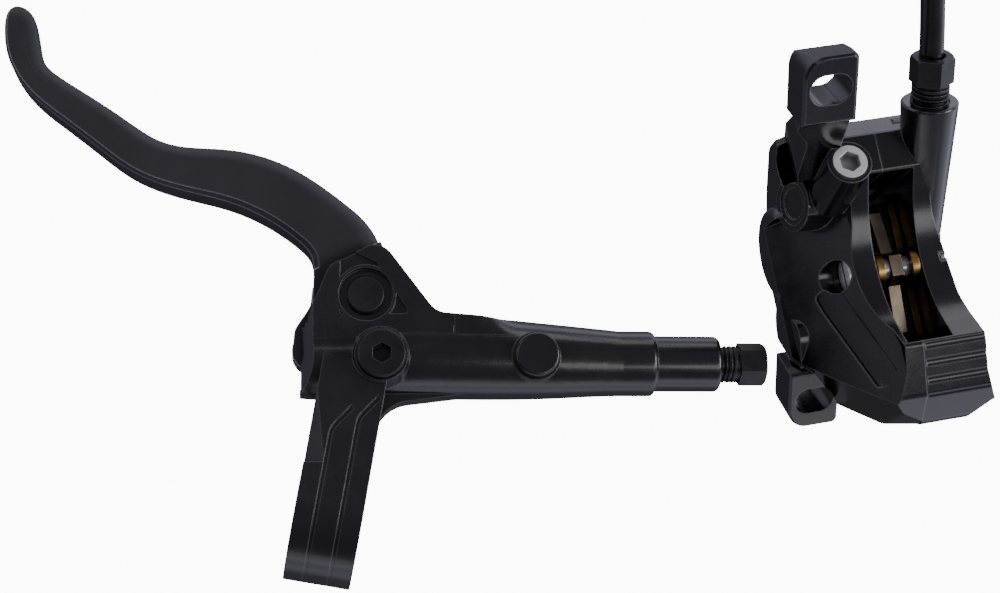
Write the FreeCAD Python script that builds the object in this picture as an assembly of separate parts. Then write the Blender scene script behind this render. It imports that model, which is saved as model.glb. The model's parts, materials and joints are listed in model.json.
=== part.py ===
import FreeCAD, Part
import math
import os
from FreeCAD import Matrix, Placement, Rotation, Vector

# Bicycle brake: lever with master cylinder, caliper with pads, and the hose on the caliper.
# Millimetres. Origin at the centre of the handlebar bore. X runs along the master cylinder
# towards the hose port, Y from the bar to the lever blade, Z up. The set lies on Z = floor_z.

# Handlebar clamp
bar_radius = 11.1
clamp_wall = 2.5
clamp_width = 13.6
clamp_turn = 10.0
clamp_outer = bar_radius + clamp_wall
floor_z = -clamp_outer
arm_reach = 32.6
arm_foot = 8.2
slit_height = 1.6
slit_z = -3.4
jaw_end = 22.2
jaw_gap = 1.2
clamp_bolt_e2 = 17.0
clamp_bolt_radius = 2.5
clamp_bolt_head_radius = 4.2
clamp_bolt_head_height = 4.0
clamp_bolt_reach = 8.5
groove_offset = 2.5
groove_width = 0.7
groove_depth = 0.45
groove_bend = {-1: 16.5, 1: 19.5}

# Master cylinder
axis_y = 32.3
barrel_stations = [(-6.0, 33.0, 8.3), (10.0, 33.2, 8.7), (23.0, 33.4, 8.8), (36.0, 33.05, 8.5),
                   (51.0, 32.6, 7.6),
                   (61.0, 32.3, 6.9)]
collar_start = 61.0
collar_end = 68.6
collar_radius = 6.9
collar_round = 1.2
nozzle_end = 82.5
nozzle_radius = 5.9
nozzle_round = 1.1
cylinder_bore = 5.0
bore_start = 8.4
bore_end = 64.5
outlet_radius = 1.2
port_thread_radius = 4.0
thread_clear = 0.06
port_depth = 11.0
mouth_x = -5.8
mouth_slant = 28.0
nose_slot_half = 3.4

# Pivot and ears
pivot_x = 7.4
pivot_y = 45.2
ear_gap_half = 4.9
ear_thickness = 3.0
ear_top = ear_gap_half + ear_thickness
pocket_depth = 1.0
pivot_recess_radius = 5.6
pivot_recess_depth = 1.7
pin_radius = 3.0
pin_head_radius = 3.95
pin_head_below = 0.2
pin_clear = 0.05
bush_wall = 1.2
bush_flange_radius = 5.4
bush_flange = 0.5
hub_radius = 6.4
hub_half = 4.2
hub_clear = 0.9
clip_thickness = 0.8
clip_radius = 4.6

# Blade, push rod and piston
nose_x = -3.4
nose_y = 34.2
nose_radius = 4.3
nose_half = 3.0
rod_pin_radius = 1.45
rod_eye_radius = 3.0
rod_half = 1.5
rod_slot_half = 1.8
rod_length = 18.5
rod_radius = 1.3
ball_radius = 2.0
cup_clear = 0.5
piston_clear = 0.05
piston_skirt = 4.0
piston_length = 20.0
cup_width = 2.2
cup_groove = 1.3
spring_wire = 0.5
spring_turns = 8
circlip_width = 1.0
circlip_bite = 0.4
circlip_band = 1.5

# Reservoir, bleed screw and plug
tank_start = 16.0
tank_end = 58.0
tank_half_width = 5.6
tank_shift = 1.4
tank_wall = 2.2
tank_corner = 4.0
lid_thickness = 1.7
diaphragm_thickness = 0.9
diaphragm_depth = 3.0
lid_screw_radius = 1.2
lid_screw_head = 2.1
lid_screw_length = 5.0
bleed_x = 10.5
bleed_boss_top = 9.5
bleed_boss_radius = 5.5
bleed_foot_radius = 6.6
bleed_head_radius = 5.0
bleed_head_height = 1.5
bleed_socket = 1.85
bleed_shank = 2.6
bleed_shank_length = 3.2
plug_x = 42.5
plug_radius = 4.6
plug_height = 2.4
plug_seat = 8.5
plug_shank = 2.4
plug_shank_length = 2.6

# Hose nut, used at both ends
nut_flats = 8.0
nut_length = 5.6
nut_shown_thread = 4.4
nut_thread_in = 9.0
nut_neck_radius = 3.5
hose_radius = 2.5
hose_clear = 0.1

# Caliper: local axes are U along the pistons, S along the pads, N up
caliper_x = 118.1
caliper_y = 53.2
caliper_turn = 9.5
mount_spacing = 74.0
mount_tilt = 44.5
ear_u = -18.2
ear_width = 11.2
ear_plate = 9.0
ear_reach = 7.2
ear_slant = 2.0
ear_foot = 7.5
ear_corner = 5.0
neck_step = 1.8
lower_neck_u = -20.6
post_room_depth = 26.0
post_room_clear = 0.2
post_room_lean = 0.02
slot_half_width = 3.2
slot_length = 8.6
seam_u = -1.8
window_half = 4.9
window_low = -20.0
window_high = 16.0
rail_top = 23.5
rail_width = 3.9
rotor_slot_half = 1.9
rotor_top = 8.5
body_low_half = 19.0
piston_spots = [7.0, -11.0]
caliper_piston_radius = 7.2
piston_depth = 7.0
housing_radius = 10.3
inner_housing_end = -21.8
outer_housing_end = 14.6
inner_housing_round = 2.5
outer_housing_round = 5.0
flank_slope = 1.385
flank_n = 17.0
outer_flank_u = 11.6
outer_flank_drift = -0.09
strip_depth = 0.4
seal_width = 1.9
seal_height = 1.4
axle_s = -2.2
axle_n = 11.5
axle_radius = 2.2
axle_head_radius = 3.3
axle_head_length = 2.6
axle_head_u = -10.8
axle_end_u = 10.8
axle_pocket_u = 9.1
axle_pocket_radius = 4.1
pad_low = -18.9
pad_high = 14.9
pad_bottom = -9.0
pad_shoulder = 9.0
pad_round = 2.5
pad_ear_radius = 3.9
plate_thickness = 1.6
lining_thickness = 1.55
lining_face = 1.45
lining_inset = 1.4
lining_top = 7.8
body_bolt_radius = 2.5
body_bolt_head_radius = 4.3
body_bolt_head_height = 4.4
upper_bolt = (23.2, 13.0)
lower_bolt = (-27.5, 13.0)
upper_bolt_head_u = -10.6
upper_bolt_end_u = 7.5
lower_bolt_end_u = -8.8
lower_bolt_head_u = 7.6
port_u = 9.5
port_s = 28.2
port_n = 28.4
port_tilt = 42.0
port_radius = 6.0
port_root_radius = 4.2
port_boss_length = 30.0
bleed_face = (-11.7, 16.8, 32.0)
bleed_axis = (0.0, 0.15, 0.99)
bleed_boss = 4.6
bleed_boss_length = 17.0
caliper_bleed_radius = 3.55
caliper_bleed_head = 2.0
caliper_bleed_shank = 2.3
caliper_bleed_length = 9.0
passage_face = (-18.6, 14.8, 12.0)
passage_axis = (-0.96, 0.0, 0.28)
passage_boss = 6.0
passage_plug_radius = 4.4
passage_plug_depth = 2.4

# Hose: route points chosen by hand, then a coil on the floor
hose_depth_in_port = 10.0
hose_straight = 20.0
hose_points = [(112.5, 129.0, 57.5), (102.0, 153.0, 50.0), (90.0, 171.0, 27.0), (81.5, 183.0, 4.0),
               (76.0, 198.0, -8.0)]
coil_x = 104.0
coil_y = 216.0
coil_inner = 19.0
coil_outer = 34.0
coil_height = 10.0
coil_lead = coil_outer - hose_radius
tail_length = 24.0
olive_length = 5.0
olive_radius = 3.6
insert_flange_radius = 2.4
insert_flange_length = 1.0
insert_bore = 0.9

rad = math.radians
up = Vector(0, 0, 1)
along_x = Vector(1, 0, 0)
mount_v = Vector(0, math.cos(rad(mount_tilt)), math.sin(rad(mount_tilt)))
mount_w = Vector(0, -math.sin(rad(mount_tilt)), math.cos(rad(mount_tilt)))
port_axis = Vector(0, math.cos(rad(port_tilt)), math.sin(rad(port_tilt)))
lower_ear = Vector(ear_u, -25.4, floor_z + (ear_reach - ear_slant) * math.sin(rad(mount_tilt))
                   + ear_plate * math.cos(rad(mount_tilt)))
upper_ear = lower_ear + mount_v * mount_spacing
caliper_place = Placement(Vector(caliper_x, caliper_y, 0), Rotation(up, caliper_turn))
clamp_place = Placement(Vector(0, 0, 0), Rotation(up, -clamp_turn))


# General helpers

def rod(radius, start, axis, length):
    return Part.makeCylinder(radius, length, start, axis)


def ring(outer, inner, start, axis, length):
    return rod(outer, start, axis, length).cut(rod(inner, start, axis, length))


def block(low, high):
    return Part.makeBox(high[0] - low[0], high[1] - low[1], high[2] - low[2], Vector(*low))


def rounded_wire(corners):
    """Closed wire through (point, radius) corners, each corner rounded by a tangent arc."""
    count = len(corners)
    starts, ends, arcs = [], [], []
    for i in range(count):
        before, here, after = corners[i - 1][0], corners[i][0], corners[(i + 1) % count][0]
        radius = corners[i][1]
        a = (before - here).normalize()
        b = (after - here).normalize()
        if radius <= 0:
            starts.append(here)
            ends.append(here)
            arcs.append(None)
            continue
        half = a.getAngle(b) / 2
        reach = radius / math.tan(half)
        middle = here + (a + b).normalize() * (radius / math.sin(half) - radius)
        starts.append(here + a * reach)
        ends.append(here + b * reach)
        arcs.append(Part.Arc(starts[i], middle, ends[i]).toShape())
    edges = []
    for i in range(count):
        if arcs[i]:
            edges.append(arcs[i])
        following = starts[(i + 1) % count]
        if (following - ends[i]).Length > 1e-6:
            edges.append(Part.LineSegment(ends[i], following).toShape())
    return Part.Wire(edges)


def prism(corners, sweep):
    return Part.Face(rounded_wire(corners)).extrude(sweep)


def plan_prism(corners, low, high):
    return prism([(Vector(x, y, low), r) for x, y, r in corners], Vector(0, 0, high - low))


def side_prism(corners, low, high):
    """Outline in S and N, swept along U from low to high."""
    return prism([(Vector(low, s, n), r) for s, n, r in corners], Vector(high - low, 0, 0))


def cross_prism(corners, low, high):
    """Outline in U and N, swept along S from low to high."""
    return prism([(Vector(u, low, n), r) for u, n, r in corners], Vector(0, high - low, 0))


def hexagon(flats, start, axis, length):
    radius = flats / math.sqrt(3)
    points = [Vector(radius * math.cos(rad(60 * i + 90)), radius * math.sin(rad(60 * i + 90)),
                     0) for i in range(7)]
    solid = Part.Face(Part.makePolygon(points)).extrude(Vector(0, 0, length))
    solid.Placement = Placement(start, Rotation(up, axis))
    return solid


def fused(pieces):
    return pieces[0].multiFuse(pieces[1:]).removeSplitter()


# Lever housing

def barrel():
    sections = []
    for x, y, radius in barrel_stations:
        circle = Part.makeCircle(radius, Vector(x, y, 0), along_x)
        sections.append(Part.Wire([circle]))
    body = Part.makeLoft(sections, True, False)
    collar = rod(collar_radius, Vector(collar_start, axis_y, 0), along_x, collar_end - collar_start)
    collar = collar.makeFillet(collar_round, [e for e in collar.Edges
                                              if abs(e.CenterOfMass.x - collar_end) < 0.01])
    nozzle = rod(nozzle_radius, Vector(collar_end - 1, axis_y, 0), along_x, nozzle_end - collar_end + 1)
    nozzle = nozzle.makeFillet(nozzle_round, [e for e in nozzle.Edges
                                              if abs(e.CenterOfMass.x - nozzle_end) < 0.01])
    return fused([body, collar, nozzle])


def ear_outline():
    return [(-5.0, 36.0, 0), (-4.4, 41.0, 3), (-0.2, 51.2, 3.2), (10.4, 56.9, 4.2), (21.9, 41.6, 4.5),
            (30.0, 41.0, 0), (25.5, 38.6, 0), (25.5, 34.0, 0)]


def ears():
    upper = plan_prism(ear_outline(), ear_gap_half, ear_top)
    lower = plan_prism(ear_outline(), -ear_top, -ear_gap_half)
    return [upper, lower]


def arm_slope():
    return math.asin((clamp_outer - arm_foot) / arm_reach)


def clamp_blank():
    """Ring round the bar with an arm that tapers to the cylinder, in the clamp's own axes."""
    slope = arm_slope()
    x0 = clamp_outer * math.sin(slope)
    z0 = clamp_outer * math.cos(slope)
    x1 = arm_reach + arm_foot * math.sin(slope)
    z1 = arm_foot * math.cos(slope)
    half = clamp_width / 2
    arc_back = Part.Arc(Vector(-half, x0, -z0), Vector(-half, -clamp_outer, 0),
                        Vector(-half, x0, z0)).toShape()
    top = Part.LineSegment(Vector(-half, x0, z0), Vector(-half, x1, z1)).toShape()
    arc_front = Part.Arc(Vector(-half, x1, z1), Vector(-half, arm_reach + arm_foot, 0),
                         Vector(-half, x1, -z1)).toShape()
    base = Part.LineSegment(Vector(-half, x1, -z1), Vector(-half, x0, -z0)).toShape()
    arm = Part.Face(Part.Wire([arc_back, top, arc_front, base])).extrude(Vector(clamp_width, 0, 0))
    arm.Placement = clamp_place
    return arm


def arm_gusset():
    points = [(3.0, 12.0, 0), (8.6, 12.0, 0), (10.6, 23.0, 8.0), (30.0, 25.4, 0), (30.0, 31.0, 0),
              (3.0, 31.0, 0)]
    return plan_prism(points, -3.2, 3.2)


def in_clamp(shape):
    shape.Placement = clamp_place.multiply(shape.Placement)
    return shape


def groove_outline(side):
    """One groove seen from above, in the clamp's axes: straight over the band, bent at the barrel's foot."""
    near = side * groove_offset - groove_width / 2
    far = near + groove_width
    bend, end = groove_bend[side], 3.4
    return [(near, -40.0, 0), (far, -40.0, 0), (far, bend, 4.0), (far + end, bend + 5.0, 0),
            (far + end - groove_width, bend + 5.6, 0), (near, bend + 0.5, 4.7)]


def clamp_grooves():
    """Two lines over the top of the band, which bend towards the barrel at the foot of the cylinder."""
    skin = clamp_blank()
    lowered = skin.copy()
    lowered.translate(Vector(0, 0, -groove_depth))
    skin = skin.cut(lowered)
    cuts = []
    for side in (-1, 1):
        line = in_clamp(plan_prism(groove_outline(side), -2.0, 30.0))
        cuts.append(line.common(skin))
    return cuts


def clamp_cuts():
    half = clamp_width
    bore = rod(bar_radius, Vector(-half, 0, 0), along_x, 2 * half)
    slit = block((-half, bar_radius - 2, slit_z - slit_height), (half, jaw_end + jaw_gap, slit_z))
    gap = block((-half, jaw_end, -clamp_outer - 1), (half, jaw_end + jaw_gap, slit_z))
    hole = rod(clamp_bolt_radius + thread_clear, Vector(0, clamp_bolt_e2, floor_z), up, 30)
    hole = hole.common(block((-9, 0, floor_z), (9, 40, slit_z + clamp_bolt_reach)))
    seat = rod(clamp_bolt_head_radius + 0.4, Vector(0, clamp_bolt_e2, floor_z - 1), up, 1 + seat_z()
               - floor_z)
    return [in_clamp(piece) for piece in (bore, slit, gap, hole, seat)]


def seat_z():
    return slit_z - slit_height - 3.2


def tank():
    low, high = axis_y + tank_shift - tank_half_width, axis_y + tank_shift + tank_half_width
    corners = [(tank_start, low, tank_corner), (tank_end, low, tank_corner), (tank_end, high, tank_corner),
               (tank_start, high, tank_corner)]
    return plan_prism(corners, floor_z + lid_thickness, 0)


def tank_hollow(clear, low, high):
    wall = tank_wall + clear
    y0, y1 = axis_y + tank_shift - tank_half_width + wall, axis_y + tank_shift + tank_half_width - wall
    x0, x1 = tank_start + 3 * tank_wall + clear, tank_end - 3 * tank_wall - clear
    round_off = tank_corner - tank_wall - clear
    corners = [(x0, y0, round_off), (x1, y0, round_off), (x1, y1, round_off), (x0, y1, round_off)]
    return plan_prism(corners, low, high)


def lid_screw_spots():
    inset = 1.5 * tank_wall
    y = axis_y + tank_shift
    return [Vector(tank_start + inset, y, floor_z), Vector(tank_end - inset, y, floor_z)]


def body_cuts():
    cuts = []
    slant = math.tan(rad(mouth_slant))
    for side in (-1, 1):
        edge = side * nose_slot_half
        tip = [(Vector(mouth_x, 10, edge), 0), (Vector(mouth_x + slant * 12, 10, edge + side * 12), 0),
               (Vector(mouth_x - 12, 10, edge + side * 12), 0), (Vector(mouth_x - 12, 10, edge), 0)]
        cuts.append(prism(tip, Vector(0, 50, 0)))
    swing = [(-14.0, 25.9, 0), (1.5, 25.9, 4), (6.9, 28.0, 4), (6.9, 38.0, 0), (pivot_x, 60.0, 0),
             (-14.0, 60.0, 0)]
    cuts.append(plan_prism(swing, -nose_slot_half, nose_slot_half))
    hub = rod(hub_radius + hub_clear, Vector(pivot_x, pivot_y, -ear_gap_half), up, 2 * ear_gap_half)
    cuts.append(hub)
    above = [(-16.0, 38.8, 0), (3.0, 38.8, 0), (pivot_x, 38.8, 0), (15.0, 39.6, 0), (22.0, 44.0, 0),
             (22.0, 75.0, 0),
             (-16.0, 75.0, 0)]
    cuts.append(plan_prism(above, -ear_gap_half, ear_gap_half))
    cuts.append(rod(cylinder_bore, Vector(0, axis_y, 0), along_x, bore_end))
    cuts.append(rod(outlet_radius, Vector(bore_end - 1, axis_y, 0), along_x, 20))
    cuts.append(rod(port_thread_radius + thread_clear, Vector(nozzle_end - port_depth, axis_y, 0),
                    along_x, 20))
    groove_radius = cylinder_bore + circlip_bite
    cuts.append(rod(groove_radius, Vector(bore_start + 0.6, axis_y, 0), along_x, circlip_width + 0.1))
    cuts.append(rod(pin_radius + pin_clear, Vector(pivot_x, pivot_y, -20), up, 40))
    recess = Vector(pivot_x, pivot_y, ear_top - pivot_recess_depth)
    cuts.append(rod(pivot_recess_radius, recess, up, 10))
    cuts.append(pivot_pocket())
    cuts.append(tank_hollow(0, floor_z, -cylinder_bore - 1.2))
    cuts.append(rod(0.7, Vector(cup_port_x(), axis_y, -9), up, 6))
    for spot in lid_screw_spots():
        cuts.append(rod(lid_screw_radius + thread_clear, spot, up, lid_thickness + lid_screw_length))
    cuts.append(rod(bleed_shank + thread_clear, Vector(bleed_x, axis_y, bleed_boss_top
                                                       - bleed_shank_length - 0.3),
                    up, 9))
    cuts.append(rod(plug_shank + thread_clear, Vector(plug_x, axis_y, plug_seat - plug_shank_length
                                                      - 0.2), up, 9))
    return cuts


def cup_port_x():
    return rod_end_x() + 14.6


def pivot_pocket():
    """Three-cornered recess in the upper ear, with a round boss left standing about the pin."""
    corners = [(2.1, 40.9, 0.6), (16.4, 41.2, 0.6), (9.6, 52.0, 0.6), (5.0, 54.2, 0.6), (2.1, 52.4, 0.6)]
    pocket = plan_prism(corners, ear_top - pocket_depth, ear_top + 5)
    return pocket.cut(rod(pivot_recess_radius + 0.7, Vector(pivot_x, pivot_y, 0), up, 30))


def master_cylinder_body():
    boss = Part.makeCone(bleed_foot_radius, bleed_boss_radius, bleed_boss_top - 6.5,
                         Vector(bleed_x, axis_y, 6.5), up)
    plug_boss = rod(plug_radius + 0.5, Vector(plug_x, axis_y, 4), up, plug_seat - 4)
    solid = fused([barrel()] + ears() + [clamp_blank(), arm_gusset(), tank(), boss, plug_boss])
    for tool in body_cuts() + clamp_cuts() + clamp_grooves():
        solid = solid.cut(tool)
    return solid.removeSplitter()


# Blade and linkage

def rod_end_x():
    return nose_x + math.sqrt(rod_length ** 2 - (axis_y - nose_y) ** 2)


def blade_section(bar_side, front, half):
    """Cross-section with a flat bar side, crisp top edge there and a full round front."""
    across = (front - bar_side).normalize()
    width = (front - bar_side).Length
    nose = min(0.42 * width, 1.1 * half)
    a = bar_side + up * (-half * 0.82)
    b = bar_side + up * (half * 0.82)
    c = bar_side + across * (0.08 * width) + up * half
    d = front - across * nose + up * half
    e = front
    f = front - across * nose - up * half
    g = bar_side + across * (0.08 * width) - up * half
    m1 = front - across * (nose * 0.3) + up * (half * 0.72)
    m2 = front - across * (nose * 0.3) - up * (half * 0.72)
    edges = [Part.LineSegment(a, b).toShape(), Part.LineSegment(b, c).toShape(),
             Part.LineSegment(c, d).toShape(),
             Part.Arc(d, m1, e).toShape(), Part.Arc(e, m2, f).toShape(), Part.LineSegment(f, g).toShape(),
             Part.LineSegment(g, a).toShape()]
    return Part.Wire(edges)


blade_stations = [((-66.9, 108.9), (-65.0, 108.7), 1.2), ((-68.4, 106.6), (-62.9, 106.4), 2.9),
                  ((-68.6, 102.5), (-61.7, 102.2), 3.6), ((-67.4, 96.2), (-60.8, 97.6), 3.9),
                  ((-63.6, 89.8), (-58.8, 94.6), 4.0), ((-56.8, 83.7), (-51.8, 89.9), 4.1),
                  ((-48.8, 77.5), (-43.6, 84.5), 4.2), ((-40.7, 71.7), (-36.2, 79.8), 4.3),
                  ((-32.2, 68.4), (-29.4, 78.3), 4.4), ((-22.5, 66.0), (-19.8, 77.8), 4.5),
                  ((-12.7, 61.8), (-7.4, 73.8), 4.5), ((-5.4, 56.4), (3.6, 66.2), 4.4),
                  ((-3.3, 51.2), (10.6, 57.4), 4.2)]


def brake_lever_blade():
    sections = []
    for bar_side, front, half in blade_stations:
        sections.append(blade_section(Vector(*bar_side, 0), Vector(*front, 0), half))
    grip = Part.makeLoft(sections, True, False)
    hub = plan_prism([(-3.3, 51.2, 0), (-3.6, 43.0, 3), (2.0, 38.6, 0), (pivot_x, 38.9, 0),
                      (13.6, 42.5, 4.5),
                      (13.9, 50.0, 4.5), (10.6, 57.4, 0)], -hub_half, hub_half)
    hub = hub.common(rod(30, Vector(pivot_x, pivot_y, -9), up, 18))
    hub_clearance = ring(30, hub_radius, Vector(pivot_x, pivot_y, -9), up, 18)
    below = plan_prism([(-20, 20, 0), (40, 20, 0), (40, pivot_y - 2, 0), (-20, pivot_y - 2, 0)], -9, 9)
    hub = hub.cut(hub_clearance.common(below))
    nose = plan_prism([(-3.6, 47.5, 0), (-4.0, 43.5, 4), (-7.2, 38.6, 3), (-7.6, 34.0, 0),
                       (nose_x, nose_y, 0),
                       (-0.2, 33.6, 0), (2.2, 38.0, 2.5), (9.0, 40.9, 0), (9.0, 47.5, 0)], -nose_half, nose_half)
    tip = rod(nose_radius, Vector(nose_x, nose_y, -nose_half), up, 2 * nose_half)
    solid = fused([grip, hub, nose, tip])
    slot = rod(rod_eye_radius + 0.5, Vector(nose_x, nose_y, -rod_slot_half), up, 2 * rod_slot_half)
    side = block((nose_x, nose_y - 8, -rod_slot_half), (nose_x + 12, nose_y + 2.6, rod_slot_half))
    pin = rod(rod_pin_radius, Vector(nose_x, nose_y, -9), up, 18)
    bush = rod(pin_radius + pin_clear + bush_wall, Vector(pivot_x, pivot_y, -9), up, 18)
    for tool in (slot, side, pin, bush):
        solid = solid.cut(tool)
    return solid.removeSplitter()


def pivot_bush(side):
    outer = pin_radius + pin_clear + bush_wall
    start = Vector(pivot_x, pivot_y, 0.3 if side > 0 else -hub_half)
    sleeve = rod(outer, start, up, hub_half - 0.3)
    flange = rod(bush_flange_radius, Vector(pivot_x, pivot_y, hub_half if side > 0 else -hub_half
                                            - bush_flange),
                 up, bush_flange)
    return sleeve.fuse(flange).cut(rod(pin_radius + pin_clear, Vector(pivot_x, pivot_y, -9), up, 18))


def pivot_pin():
    low = -ear_top - clip_thickness - 0.8
    shaft = rod(pin_radius, Vector(pivot_x, pivot_y, low), up, ear_top - pivot_recess_depth - low)
    base = ear_top - pivot_recess_depth
    head = rod(pin_head_radius, Vector(pivot_x, pivot_y, base), up, pivot_recess_depth - pin_head_below)
    head = head.makeChamfer(0.35, [e for e in head.Edges if e.CenterOfMass.z > ear_top - pin_head_below
                                   - 0.01])
    groove = ring(pin_radius + 1, pin_radius - 0.6, Vector(pivot_x, pivot_y, -ear_top - clip_thickness), up,
                  clip_thickness)
    return shaft.fuse(head).cut(groove).removeSplitter()


def pivot_clip():
    start = Vector(pivot_x, pivot_y, -ear_top - clip_thickness)
    clip = ring(clip_radius, pin_radius - 0.55, start, up, clip_thickness)
    return clip.cut(block((pivot_x - 1.4, pivot_y, -20), (pivot_x + 1.4, pivot_y + 9, 0)))


def rod_direction():
    return Vector(rod_end_x() - nose_x, axis_y - nose_y, 0).normalize()


def push_rod():
    centre = Vector(nose_x, nose_y, 0)
    direction = rod_direction()
    eye = rod(rod_eye_radius, centre - up * rod_half, up, 2 * rod_half)
    shaft = rod(rod_radius, centre + direction * 1.5, direction, rod_length - 2.5)
    ball = Part.makeSphere(ball_radius, centre + direction * rod_length)
    solid = fused([eye, shaft, ball])
    return solid.cut(rod(rod_pin_radius + pin_clear, centre - up * 5, up, 10))


def push_rod_pin():
    return rod(rod_pin_radius - 0.01, Vector(nose_x, nose_y, -nose_half), up, 2 * nose_half)


def piston_start():
    return rod_end_x() - piston_skirt


def master_piston():
    radius = cylinder_bore - piston_clear
    start = piston_start()
    solid = rod(radius, Vector(start, axis_y, 0), along_x, piston_length)
    socket = rod(ball_radius + cup_clear, Vector(start - 1, axis_y, 0), along_x, 1 + piston_skirt
                 + ball_radius + 0.4)
    solid = solid.cut(socket)
    for x in cup_spots():
        solid = solid.cut(ring(radius + 1, radius - cup_groove, Vector(x, axis_y, 0), along_x, cup_width))
    spigot = rod(2.2, Vector(start + piston_length, axis_y, 0), along_x, 2.5)
    return solid.fuse(spigot).removeSplitter()


def cup_spots():
    start = piston_start()
    return [start + 8.4, start + 15.6]


def piston_cup(index):
    x = cup_spots()[index]
    radius = cylinder_bore - piston_clear
    inner = radius - cup_groove + 0.02
    lip = [Vector(x + 0.1, axis_y + inner, 0), Vector(x + cup_width - 0.1, axis_y + inner, 0),
           Vector(x + cup_width - 0.1, axis_y + cylinder_bore - 0.02, 0),
           Vector(x + cup_width * 0.55, axis_y + inner + 0.7, 0), Vector(x + 0.1, axis_y + radius - 0.1, 0),
           Vector(x + 0.1, axis_y + inner, 0)]
    return Part.Face(Part.makePolygon(lip)).revolve(Vector(0, axis_y, 0), along_x, 360)


def return_spring():
    start = piston_start() + piston_length + 0.1
    length = bore_end - start - 0.1
    mean = 3.2
    low = Vector(start + spring_wire, axis_y, 0)
    pitch = (length - 2 * spring_wire) / spring_turns
    helix = Part.makeHelix(pitch, length - 2 * spring_wire, mean)
    helix.Placement = Placement(low, Rotation(up, along_x))
    begin = helix.Edges[0].valueAt(helix.Edges[0].FirstParameter)
    tangent = helix.Edges[0].tangentAt(helix.Edges[0].FirstParameter)
    profile = Part.Wire([Part.makeCircle(spring_wire, begin, tangent)])
    return Part.Wire(helix.Edges).makePipeShell([profile], True, True)


def bore_circlip():
    start = Vector(bore_start + 0.65, axis_y, 0)
    outer = cylinder_bore + circlip_bite - 0.05
    clip = ring(outer, outer - circlip_band - circlip_bite, start, along_x, circlip_width)
    return clip.cut(block((0, axis_y - 1.5, -9), (20, axis_y + 1.5, 0)))


# Small parts on the lever

def clamp_bolt():
    base = seat_z()
    head = rod(clamp_bolt_head_radius, Vector(0, clamp_bolt_e2, base - clamp_bolt_head_height), up,
               clamp_bolt_head_height)
    head = head.makeChamfer(0.4, [e for e in head.Edges if e.CenterOfMass.z < base
                                  - clamp_bolt_head_height + 0.01])
    shank = rod(clamp_bolt_radius, Vector(0, clamp_bolt_e2, base), up, slit_z + clamp_bolt_reach - 0.5
                - base)
    socket = hexagon(4.0, Vector(0, clamp_bolt_e2, base - clamp_bolt_head_height), up, 2.4)
    return in_clamp(head.fuse(shank).cut(socket).removeSplitter())


def reservoir_lid():
    low, high = axis_y + tank_shift - tank_half_width, axis_y + tank_shift + tank_half_width
    corners = [(tank_start, low, tank_corner), (tank_end, low, tank_corner), (tank_end, high, tank_corner),
               (tank_start, high, tank_corner)]
    solid = plan_prism(corners, floor_z, floor_z + lid_thickness)
    solid = solid.makeChamfer(0.4, [e for e in solid.Edges if abs(e.CenterOfMass.z - floor_z) < 0.01])
    for spot in lid_screw_spots():
        solid = solid.cut(rod(lid_screw_radius + 0.1, spot, up, 5))
        solid = solid.cut(Part.makeCone(lid_screw_head + 0.2, lid_screw_radius, lid_screw_head
                                        - lid_screw_radius + 0.2,
                                        spot, up))
    return solid


def reservoir_diaphragm():
    base = floor_z + lid_thickness
    outer = tank_hollow(0.15, base, base + diaphragm_depth)
    inner = tank_hollow(0.15 + diaphragm_thickness, base, base + diaphragm_depth - diaphragm_thickness)
    return outer.cut(inner)


def lid_screw(spot):
    base = spot + up * 0.15
    head = Part.makeCone(lid_screw_head, lid_screw_radius, lid_screw_head - lid_screw_radius, base, up)
    shank = rod(lid_screw_radius, base, up, lid_thickness + lid_screw_length - 0.5)
    recess = hexagon(1.6, base, up, 0.8)
    return head.fuse(shank).cut(recess).removeSplitter()


def lever_bleed_screw():
    base = Vector(bleed_x, axis_y, bleed_boss_top)
    head = rod(bleed_head_radius, base + up * 0.3, up, bleed_head_height)
    head = head.makeChamfer(0.3, [e for e in head.Edges if e.CenterOfMass.z > base.z
                                  + bleed_head_height + 0.2])
    shank = rod(bleed_shank, base - up * bleed_shank_length, up, bleed_shank_length + 0.3)
    socket = hexagon(2 * bleed_socket, base + up * (bleed_head_height - 1.9), up, 3)
    return head.fuse(shank).cut(socket).removeSplitter()


def bleed_washer():
    return ring(bleed_head_radius - 0.5, bleed_shank + 0.1, Vector(bleed_x, axis_y, bleed_boss_top), up,
                0.3)


def port_plug():
    base = Vector(plug_x, axis_y, plug_seat)
    head = rod(plug_radius, base, up, plug_height)
    head = head.makeFillet(0.6, [e for e in head.Edges if e.CenterOfMass.z > base.z + plug_height - 0.01])
    shank = rod(plug_shank, base - up * plug_shank_length, up, plug_shank_length)
    return head.fuse(shank).removeSplitter()


def hose_nut(shoulder, axis):
    """Compression nut: the thread starts inside the port, the hexagon stands outside it."""
    shank = rod(port_thread_radius, shoulder - axis * nut_thread_in, axis, nut_thread_in - 0.2)
    neck = rod(nut_neck_radius, shoulder - axis, axis, 1 + nut_shown_thread)
    head = hexagon(nut_flats, shoulder + axis * nut_shown_thread, axis, nut_length)
    corner = nut_flats / math.sqrt(3)
    start = shoulder + axis * nut_shown_thread
    bevel = Part.makeCone(corner + 0.2, corner - 0.5, 0.7, start + axis * (nut_length - 0.7), axis)
    bevel = bevel.fuse(rod(corner + 0.2, start, axis, nut_length - 0.7))
    solid = fused([shank, neck, head.common(bevel)])
    return solid.cut(rod(hose_radius + hose_clear, shoulder - axis * 20, axis, 50)).removeSplitter()


# Caliper

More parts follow.
